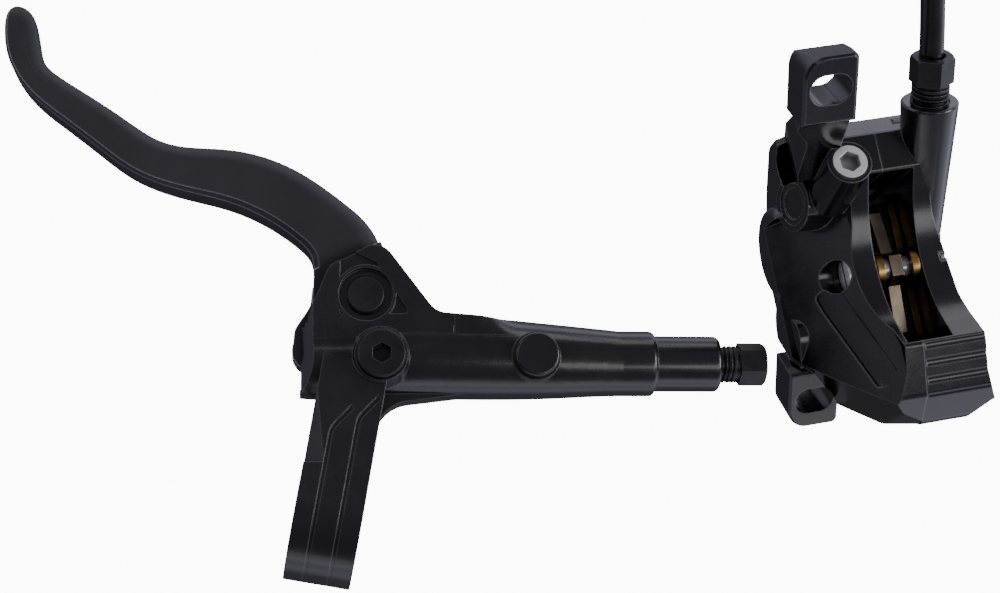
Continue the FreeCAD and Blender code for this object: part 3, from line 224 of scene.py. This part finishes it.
# the blade's edge colour is a bright painted highlight line along its edges
bladeLook = {"dark": (0.024, 0.023, 0.028), "light": (0.039, 0.037, 0.046), "blotchScale": 45,
             "smooth": 0.40, "rough": 0.50, "glossScale": 300, "grainScale": 2600, "grain": 0.30,
             "grainDepth": 0.00008, "edge": 0.0005, "edgeHighlight": (0.70, 0.68, 0.74), "specular": 0.3}
caliperLook = {"dark": (0.004, 0.004, 0.006), "light": (0.009, 0.0085, 0.012), "blotchScale": 80,
               "smooth": 0.15, "rough": 0.24, "glossScale": 260, "grainScale": 1800, "grain": 0.14,
               "coat": 0.5, "coatRough": 0.16, "edge": 0.0005, "edgeHighlight": (0.150, 0.146, 0.165)}
blackSteelLook = {"dark": (0.010, 0.010, 0.011), "light": (0.022, 0.021, 0.023), "blotchScale": 200,
                  "smooth": 0.28, "rough": 0.42, "glossScale": 500, "grainScale": 3000, "grain": 0.15,
                  "metal": 0.3, "edge": 0.0003, "edgeHighlight": (0.110, 0.108, 0.120)}
steelLook = {"dark": (0.60, 0.60, 0.62), "light": (0.84, 0.84, 0.86), "blotchScale": 90, "smooth": 0.18,
             "rough": 0.34, "glossScale": 200, "grainScale": 2500, "grain": 0.03, "metal": 1.0,
             "brushed": 0.4, "edge": 0.0001}
alloyLook = {"dark": (0.62, 0.62, 0.63), "light": (0.80, 0.80, 0.81), "blotchScale": 200, "smooth": 0.2,
             "rough": 0.32, "glossScale": 700, "grainScale": 2500, "grain": 0.1, "metal": 1.0,
             "edge": 0.0001}
# the gold plates take a deep, strong painted shade, which darkens their edges deep inside the caliper's
# window
goldLook = {"dark": (0.22, 0.125, 0.04), "light": (0.62, 0.39, 0.14), "blotchScale": 260, "smooth": 0.22,
            "rough": 0.40, "glossScale": 400, "grainScale": 2200, "grain": 0.2, "metal": 1.0,
            "edge": 0.0002, "depth": 0.011, "shade": 0.10}
liningLook = {"dark": (0.008, 0.007, 0.006), "light": (0.035, 0.028, 0.022), "blotchScale": 900,
              "smooth": 0.7, "rough": 0.95, "glossScale": 700, "grainScale": 1500, "grain": 0.7,
              "grainDepth": 0.0002}
rubberLook = {"dark": (0.010, 0.010, 0.010), "light": (0.018, 0.018, 0.018), "blotchScale": 150,
              "smooth": 0.5, "rough": 0.7, "glossScale": 500, "grainScale": 2000, "grain": 0.2}
hoseLook = {"dark": (0.006, 0.006, 0.007), "light": (0.011, 0.011, 0.012), "blotchScale": 90,
            "smooth": 0.18, "rough": 0.27, "glossScale": 350, "grainScale": 1600, "grain": 0.12,
            "coat": 0.3}
brassLook = {"dark": (0.50, 0.34, 0.13), "light": (0.78, 0.58, 0.28), "blotchScale": 300, "smooth": 0.2,
             "rough": 0.36, "glossScale": 500, "grainScale": 2400, "grain": 0.12, "metal": 1.0,
             "edge": 0.0001}
polymerLook = {"dark": (0.030, 0.030, 0.031), "light": (0.055, 0.055, 0.056), "blotchScale": 300,
               "smooth": 0.5, "rough": 0.65, "glossScale": 500, "grainScale": 2000, "grain": 0.2}
resinLook = {"dark": (0.52, 0.50, 0.46), "light": (0.68, 0.66, 0.61), "blotchScale": 180, "smooth": 0.38,
             "rough": 0.52, "glossScale": 400, "grainScale": 2000, "grain": 0.15, "edge": 0.0002}

finishes = {  # by the record's material slots
    "black_casting": makeFinish("blackCasting", castingLook),
    "black_blade": makeFinish("blackBlade", bladeLook),
    "black_caliper": makeFinish("blackCaliper", caliperLook),
    "black_steel": makeFinish("blackSteel", blackSteelLook),
    "bright_steel": makeFinish("brightSteel", steelLook),
    "silver_alloy": makeFinish("silverAlloy", alloyLook),
    "gold_plate": makeFinish("goldPlate", goldLook),
    "pad_lining": makeFinish("padLining", liningLook),
    "seal_rubber": makeFinish("sealRubber", rubberLook),
    "hose_jacket": makeFinish("hoseJacket", hoseLook),
    "brass_fitting": makeFinish("brassFitting", brassLook),
    "bush_polymer": makeFinish("bushPolymer", polymerLook),
    "piston_resin": makeFinish("pistonResin", resinLook),
}

springLook = {"dark": (0.26, 0.20, 0.13), "light": (0.46, 0.38, 0.28), "blotchScale": 120,
              "smooth": 0.22, "rough": 0.36, "glossScale": 220, "grainScale": 2500, "grain": 0.04,
              "metal": 1.0, "edge": 0.0001}
# lighter, half-diffuse copy of bright metal, which paints the pad axle and the caliper's bleed screw
# brighter, as if more strongly lit
litMetalLook = {"dark": (0.80, 0.80, 0.82), "light": (0.95, 0.95, 0.96), "blotchScale": 90, "smooth": 0.15,
            "rough": 0.28, "glossScale": 200, "grainScale": 2500, "grain": 0.03, "metal": 0.45,
            "edge": 0.0002}

ownFinish = {  # pieces that look different from the rest of their slot
    "pad_spring": makeFinish("springStrip", springLook),
    "pad_axle": makeFinish("litAxleSteel", litMetalLook),
    "caliper_bleed_screw": makeFinish("litBleedAlloy", litMetalLook),
}


def dressNodes():
    for part in frame["record"]["subparts"]:
        piece = frame["nodes"][part["node"]]
        finish = ownFinish.get(part["node"], finishes[part["material_slot"]])
        piece.data.materials.clear()
        piece.data.materials.append(finish)


dressNodes()
print("finishes on the CAD pieces")


# Hose: one spline from the caliper port to its free end, points in metres

hose = {
    "radius": 0.0025,
    "length": 0.962,
    "route": [(0.1240419, 0.0752517, 0.0217087), (0.1191357, 0.1045698, 0.0484739), (0.1125, 0.1290, 0.0575),
              (0.1020, 0.1530, 0.0500), (0.0900, 0.1710, 0.0270), (0.0815, 0.1830, 0.0040),
              (0.0760, 0.1980, -0.0080)],
    "coilCentre": (0.104, 0.216),
    "coilFloor": -0.0136,
    "outerRow": 6.3,  # radius of the outer row, in hose diameters
    "turnPoints": 16,
    "turns": 4.5,
    "stepsIn": [(0.5, 0.75), (1.5, 1.75)],  # turns over which the hose moves in by one row
    "climb": (2.2, 2.5),  # turns over which it climbs on the first layer
    "stepsOut": [(3.0, 3.2), (4.0, 4.2)],
    "tail": [(0.1355, 0.2110, -0.0061), (0.1355, 0.2040, -0.0063), (0.1355, 0.1960, -0.0084),
             (0.1355, 0.1880, -0.0100), (0.1355, 0.1792, -0.0100)],
    "roundness": 6,  # bevel resolution
    "smoothness": 8,  # steps between two points
}


def easedStep(value, start, end):
    share = min(1.0, max(0.0, (value - start) / (end - start)))
    return share * share * (3 - 2 * share)


# Neat coil: three rows inwards on the floor, then three rows back out on top of them
def coilPlace(turn):
    wide = 2 * hose["radius"]
    inwards = sum(easedStep(turn, *step) for step in hose["stepsIn"])
    outwards = sum(easedStep(turn, *step) for step in hose["stepsOut"])
    reach = hose["outerRow"] * wide + wide * (outwards - inwards)
    height = hose["coilFloor"] + hose["radius"] + wide * easedStep(turn, *hose["climb"])
    return reach, height


def hosePoints():
    points = [Vector(place) for place in hose["route"]]
    step = 1 / hose["turnPoints"]
    shrink = (6 + 2 * math.cos(2 * math.pi * step)) / 8  # the spline's radius over that of its points
    for i in range(round(hose["turns"] / step) + 1):
        turn = i * step
        reach, height = coilPlace(turn)
        angle = math.pi - 2 * math.pi * turn
        x = hose["coilCentre"][0] + reach / shrink * math.cos(angle)
        y = hose["coilCentre"][1] + reach / shrink * math.sin(angle)
        points.append(Vector((x, y, height)))
    return points + [Vector(place) for place in hose["tail"]]


def addHose():
    curve = bpy.data.curves.new("brakeHose", "CURVE")
    curve.dimensions = "3D"
    curve.bevel_depth = hose["radius"]
    curve.bevel_resolution = hose["roundness"]
    curve.resolution_u = hose["smoothness"]
    curve.use_fill_caps = True
    spline = curve.splines.new("NURBS")
    points = hosePoints()
    spline.points.add(len(points) - 1)
    for point, place in zip(spline.points, points):
        point.co = (*place, 1)
    spline.order_u = 3
    spline.use_endpoint_u = True
    piece = bpy.data.objects.new("brake_hose", curve)
    bpy.context.collection.objects.link(piece)
    curve.materials.append(finishes["hose_jacket"])
    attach(piece, "housing")
    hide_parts("hose_run", "hose_coil", "hose_tail")


addHose()
print("hose laid")


# Threads, made with Geometry Nodes as one helical ridge each

leverThread = {"start": (0.0830, 0.0323, 0.0), "axis": (1, 0, 0), "turns": 3.5, "pitch": 0.001,
               "radius": 0.00362, "ridge": 0.00038, "steps": 48, "sides": 4}
caliperThread = {"start": (0.1227541, 0.0829477, 0.0287346), "axis": (-0.1226543, 0.7329530, 0.6691306),
                 "turns": 3.5, "pitch": 0.001, "radius": 0.00362, "ridge": 0.00038, "steps": 48, "sides": 4}


# Node group: a spiral swept with a small round or four-sided profile, turned and placed
def spiralTree():
    tree = bpy.data.node_groups.new("spiralMaker", "GeometryNodeTree")
    for name, kind in (("Turns", "Float"), ("Height", "Float"), ("Radius", "Float"), ("Ridge", "Float"),
                       ("Turn", "Vector"), ("Place", "Vector"), ("Steps", "Int"), ("Sides", "Int"),
                       ("Finish", "Material")):
        tree.interface.new_socket(name, in_out="INPUT", socket_type="NodeSocket" + kind)
    tree.interface.new_socket("Geometry", in_out="OUTPUT", socket_type="NodeSocketGeometry")
    given = tree.nodes.new("NodeGroupInput")
    spiral = tree.nodes.new("GeometryNodeCurveSpiral")
    profile = tree.nodes.new("GeometryNodeCurvePrimitiveCircle")
    sweep = tree.nodes.new("GeometryNodeCurveToMesh")
    sweep.inputs["Fill Caps"].default_value = True
    move = tree.nodes.new("GeometryNodeTransform")
    real = tree.nodes.new("GeometryNodeRealizeInstances")
    paint = tree.nodes.new("GeometryNodeSetMaterial")
    result = tree.nodes.new("NodeGroupOutput")
    for node, x in ((given, -900), (spiral, -600), (profile, -600), (sweep, -300), (move, -100), (real, 100),
                    (paint, 300), (result, 500)):
        node.location.x = x
    link(tree, given, "Steps", spiral, "Resolution")
    link(tree, given, "Sides", profile, "Resolution")
    link(tree, given, "Turns", spiral, "Rotations")
    link(tree, given, "Radius", spiral, "Start Radius")
    link(tree, given, "Radius", spiral, "End Radius")
    link(tree, given, "Height", spiral, "Height")
    link(tree, given, "Ridge", profile, "Radius")
    link(tree, spiral, "Curve", sweep, "Curve")
    link(tree, profile, "Curve", sweep, "Profile Curve")
    link(tree, sweep, "Mesh", move, "Geometry")
    link(tree, given, "Turn", move, "Rotation")
    link(tree, given, "Place", move, "Translation")
    link(tree, move, "Geometry", real, "Geometry")
    link(tree, real, "Geometry", paint, "Geometry")
    link(tree, given, "Finish", paint, "Material")
    link(tree, paint, "Geometry", result, "Geometry")
    return tree


def setInput(modifier, name, value):
    for item in modifier.node_group.interface.items_tree:
        if item.item_type == "SOCKET" and item.in_out == "INPUT" and item.name == name:
            modifier[item.identifier] = value
            return
    raise KeyError(name)


# The evaluated result as a mesh of its own, on an object at the origin
def plainMesh(maker, name):
    graph = bpy.context.evaluated_depsgraph_get()
    mesh = bpy.data.meshes.new_from_object(maker.evaluated_get(graph))
    bpy.data.objects.remove(maker)
    piece = bpy.data.objects.new(name, mesh)
    bpy.context.collection.objects.link(piece)
    return piece


def addSpiral(name, spiral, tree, finish):
    maker = bpy.data.objects.new(name + "Maker", bpy.data.meshes.new(name + "Maker"))
    bpy.context.collection.objects.link(maker)
    modifier = maker.modifiers.new("spiral", "NODES")
    modifier.node_group = tree
    turn = Vector(spiral["axis"]).to_track_quat("Z", "Y").to_euler()
    setInput(modifier, "Turns", float(spiral["turns"]))
    setInput(modifier, "Height", spiral["turns"] * spiral["pitch"])
    setInput(modifier, "Radius", spiral["radius"])
    setInput(modifier, "Ridge", spiral["ridge"])
    setInput(modifier, "Turn", tuple(turn))
    setInput(modifier, "Place", spiral["start"])
    setInput(modifier, "Steps", spiral["steps"])
    setInput(modifier, "Sides", spiral["sides"])
    setInput(modifier, "Finish", finish)
    piece = plainMesh(maker, name)
    for face in piece.data.polygons:
        face.use_smooth = spiral["sides"] > 4  # a thread keeps its sharp ridge
    return piece


spirals = spiralTree()
for name, thread in (("lever_nut_thread", leverThread), ("caliper_nut_thread", caliperThread)):
    piece = addSpiral(name, thread, spirals, finishes["black_steel"])
    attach(piece, "housing")
print("threads cut")


# Return spring of the lever's piston, in place of the CAD spring

returnSpring = {
    "start": (0.0318, 0.0323, 0.0),
    "axis": (1, 0, 0),
    "turns": 8.0,
    "pitch": 0.004,
    "radius": 0.0032,
    "ridge": 0.0005,
    "steps": 240,
    "sides": 10,
    "anchor": (0.0644, 0.0323, 0.0),  # the end that stays in its place
    "keep": 0.78,  # share of its length that is left at the end of the piston's range
}


def addReturnSpring():
    spring = addSpiral("return_spring", returnSpring, spirals, finishes["bright_steel"])
    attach(spring, "housing")
    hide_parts("piston_return_spring")
    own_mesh(spring)


addReturnSpring()
print("spring wound")


# Shelf of the pivot ear, which runs out along the barrel's upper shoulder

shelf = {
    "top": 0.00788,
    "lift": 0.00005,  # added to the top from risen on, so that it covers the ear's end
    "inner": 0.0368,
    "outer": 0.04098,  # at the tip
    "taper": 0.074,  # how much the outer border comes in per metre along X
    "from": 0.0250,
    "risen": 0.0260,
    "tip": 0.0300,  # from here to the end it fades into the barrel
    "end": 0.0400,
    "sunk": 0.0005,  # depth of its underside in the casting
    "dive": 0.00003,  # how much what stays below the top is lowered, so that its edge is in the casting
    "above": 0.05,  # height that the rays start from
    "steps": 36,
    "strips": 12,
}


def addShelf():
    body = frame["nodes"]["master_cylinder_body"]
    down = Vector((0, 0, -1))
    rows = []
    for i in range(shelf["steps"] + 1):
        x = shelf["from"] + (shelf["end"] - shelf["from"]) * i / shelf["steps"]
        fade = 1 - easedStep(x, shelf["tip"], shelf["end"])
        top = shelf["top"] + shelf["lift"] * easedStep(x, shelf["from"], shelf["risen"])
        outer = shelf["outer"] - shelf["taper"] * (x - shelf["tip"])
        upper, lower = [], []
        for j in range(shelf["strips"] + 1):
            y = shelf["inner"] + (outer - shelf["inner"]) * j / shelf["strips"]
            hit = body.ray_cast(Vector((x, y, shelf["above"])), down)[1]
            rise = max(0.0, top - hit.z) * fade
            sink = 0.0 if hit.z + rise >= top and rise > 0 else shelf["dive"]
            upper.append((x, y, hit.z + rise - sink))
            lower.append((x, y, hit.z - shelf["sunk"]))
        rows.append(upper + lower[::-1])
    around = len(rows[0])
    faces = [tuple(range(around))[::-1], tuple(len(rows) * around - around + k for k in range(around))]
    for i in range(len(rows) - 1):
        for k in range(around):
            near, nearNext = i * around + k, i * around + (k + 1) % around
            faces.append((near, nearNext, nearNext + around, near + around))
    mesh = bpy.data.meshes.new("earShelf")
    mesh.from_pydata([point for row in rows for point in row], [], faces)
    form = bmesh.new()
    form.from_mesh(mesh)
    bmesh.ops.recalc_face_normals(form, faces=form.faces)
    form.to_mesh(mesh)
    form.free()
    mesh.materials.append(finishes["black_casting"])
    piece = bpy.data.objects.new("ear_shelf", mesh)
    bpy.context.collection.objects.link(piece)
    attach(piece, "housing")


addShelf()
print("shelf faded into the barrel")


# Floor and soft studio light

studio = {
    "floorSize": 6.0,
    "floorColour": (0.92, 0.92, 0.92),
    "floorRough": 0.9,
    "floorGlow": 11.0,
    "skyColour": (0.77, 0.75, 0.92),
    "sideGlow": (0.50, 1.45),  # strength of the sky at the far left and the far right
    "skyGlow": [(0.0, 0.08), (0.18, 0.22), (0.33, 1.10), (0.50, 0.85), (0.62, 0.32), (0.78, 0.20),
                (1.0, 0.22)],  # from straight below, 0, to straight above, 1
    "panels": [
        {"name": "backPanel", "at": (-0.05, 0.85, 0.25), "aim": (0.03, 0.05, 0.0), "wide": 1.3, "tall": 0.30,
         "power": 1.6},
        {"name": "leftPanel", "at": (-0.80, 0.15, 0.30), "aim": (0.0, 0.05, 0.0), "wide": 0.8, "tall": 0.3,
         "power": 0.8},
        {"name": "rightPanel", "at": (0.70, 0.05, 0.45), "aim": (0.10, 0.04, 0.0), "wide": 0.5, "tall": 0.3,
         "power": 3.2},
        {"name": "frontPanel", "at": (0.05, -0.85, 0.10), "aim": (0.03, 0.03, 0.0), "wide": 1.3, "tall": 0.30,
         "power": 0.7},
        {"name": "softbox", "at": (0.42, -0.28, 0.78), "aim": (0.06, 0.04, 0.0), "wide": 0.35, "tall": 0.35,
         "power": 0.9},
        {"name": "bladePanel", "at": (-0.22, 0.30, 0.77), "aim": (-0.04, 0.07, 0.0), "wide": 0.36,
         "tall": 0.22, "power": 0.35},
    ],
}


def addFloor():
    half = studio["floorSize"] / 2
    z = cadLow[2]
    corners = [(-half, -half, z), (half, -half, z), (half, half, z), (-half, half, z)]
    mesh = bpy.data.meshes.new("studioFloor")
    mesh.from_pydata(corners, [], [(0, 1, 2, 3)])
    floor = bpy.data.objects.new("studio_floor", mesh)
    bpy.context.collection.objects.link(floor)
    material = bpy.data.materials.new("studioFloor")
    material.use_nodes = True
    shader = material.node_tree.nodes["Principled BSDF"]
    shader.inputs["Base Color"].default_value = (*studio["floorColour"], 1)
    shader.inputs["Roughness"].default_value = studio["floorRough"]
    shader.inputs["Emission Color"].default_value = (1, 1, 1, 1)
    shader.inputs["Emission Strength"].default_value = studio["floorGlow"]
    mesh.materials.append(material)
    floor.visible_glossy = False  # the pieces mirror the sky's band, not the glowing floor
    floor.visible_diffuse = False


def addPanel(panel):
    data = bpy.data.lights.new(panel["name"], "AREA")
    data.shape = "RECTANGLE"
    data.size = panel["wide"]
    data.size_y = panel["tall"]
    data.energy = panel["power"]
    light = bpy.data.objects.new(panel["name"], data)
    bpy.context.collection.objects.link(light)
    light.location = panel["at"]
    light.rotation_euler = (Vector(panel["aim"]) - Vector(panel["at"])).to_track_quat("-Z", "Y").to_euler()


# A pale band round the horizon, which glossy rims mirror, dark above and below, dimmer towards the left
def addSky():
    world = bpy.data.worlds.new("studioSky")
    bpy.context.scene.world = world
    world.use_nodes = True
    tree = world.node_tree
    background = tree.nodes["Background"]
    coords = newNode(tree, "ShaderNodeTexCoord", (-900, 0))
    split = newNode(tree, "ShaderNodeSeparateXYZ", (-700, 0))
    link(tree, coords, "Generated", split, "Vector")
    height = rangeNode(tree, split, "Z", (-1.0, 1.0), (0.0, 1.0), (-500, 150))
    side = rangeNode(tree, split, "X", (-1.0, 1.0), studio["sideGlow"], (-500, -150))
    ramp = newNode(tree, "ShaderNodeValToRGB", (-300, 150))
    ramp.color_ramp.interpolation = "EASE"
    stops = ramp.color_ramp.elements
    while len(stops) < len(studio["skyGlow"]):
        stops.new(0.5)  # moved to its place below
    for stop, (place, glow) in zip(stops, studio["skyGlow"]):
        stop.position = place
        stop.color = (*[glow * part for part in studio["skyColour"]], 1)
    link(tree, height, "Result", ramp, "Fac")
    link(tree, ramp, "Color", background, "Color")
    link(tree, side, "Result", background, "Strength")


addFloor()
for panel in studio["panels"]:
    addPanel(panel)
addSky()
print("floor and light set")
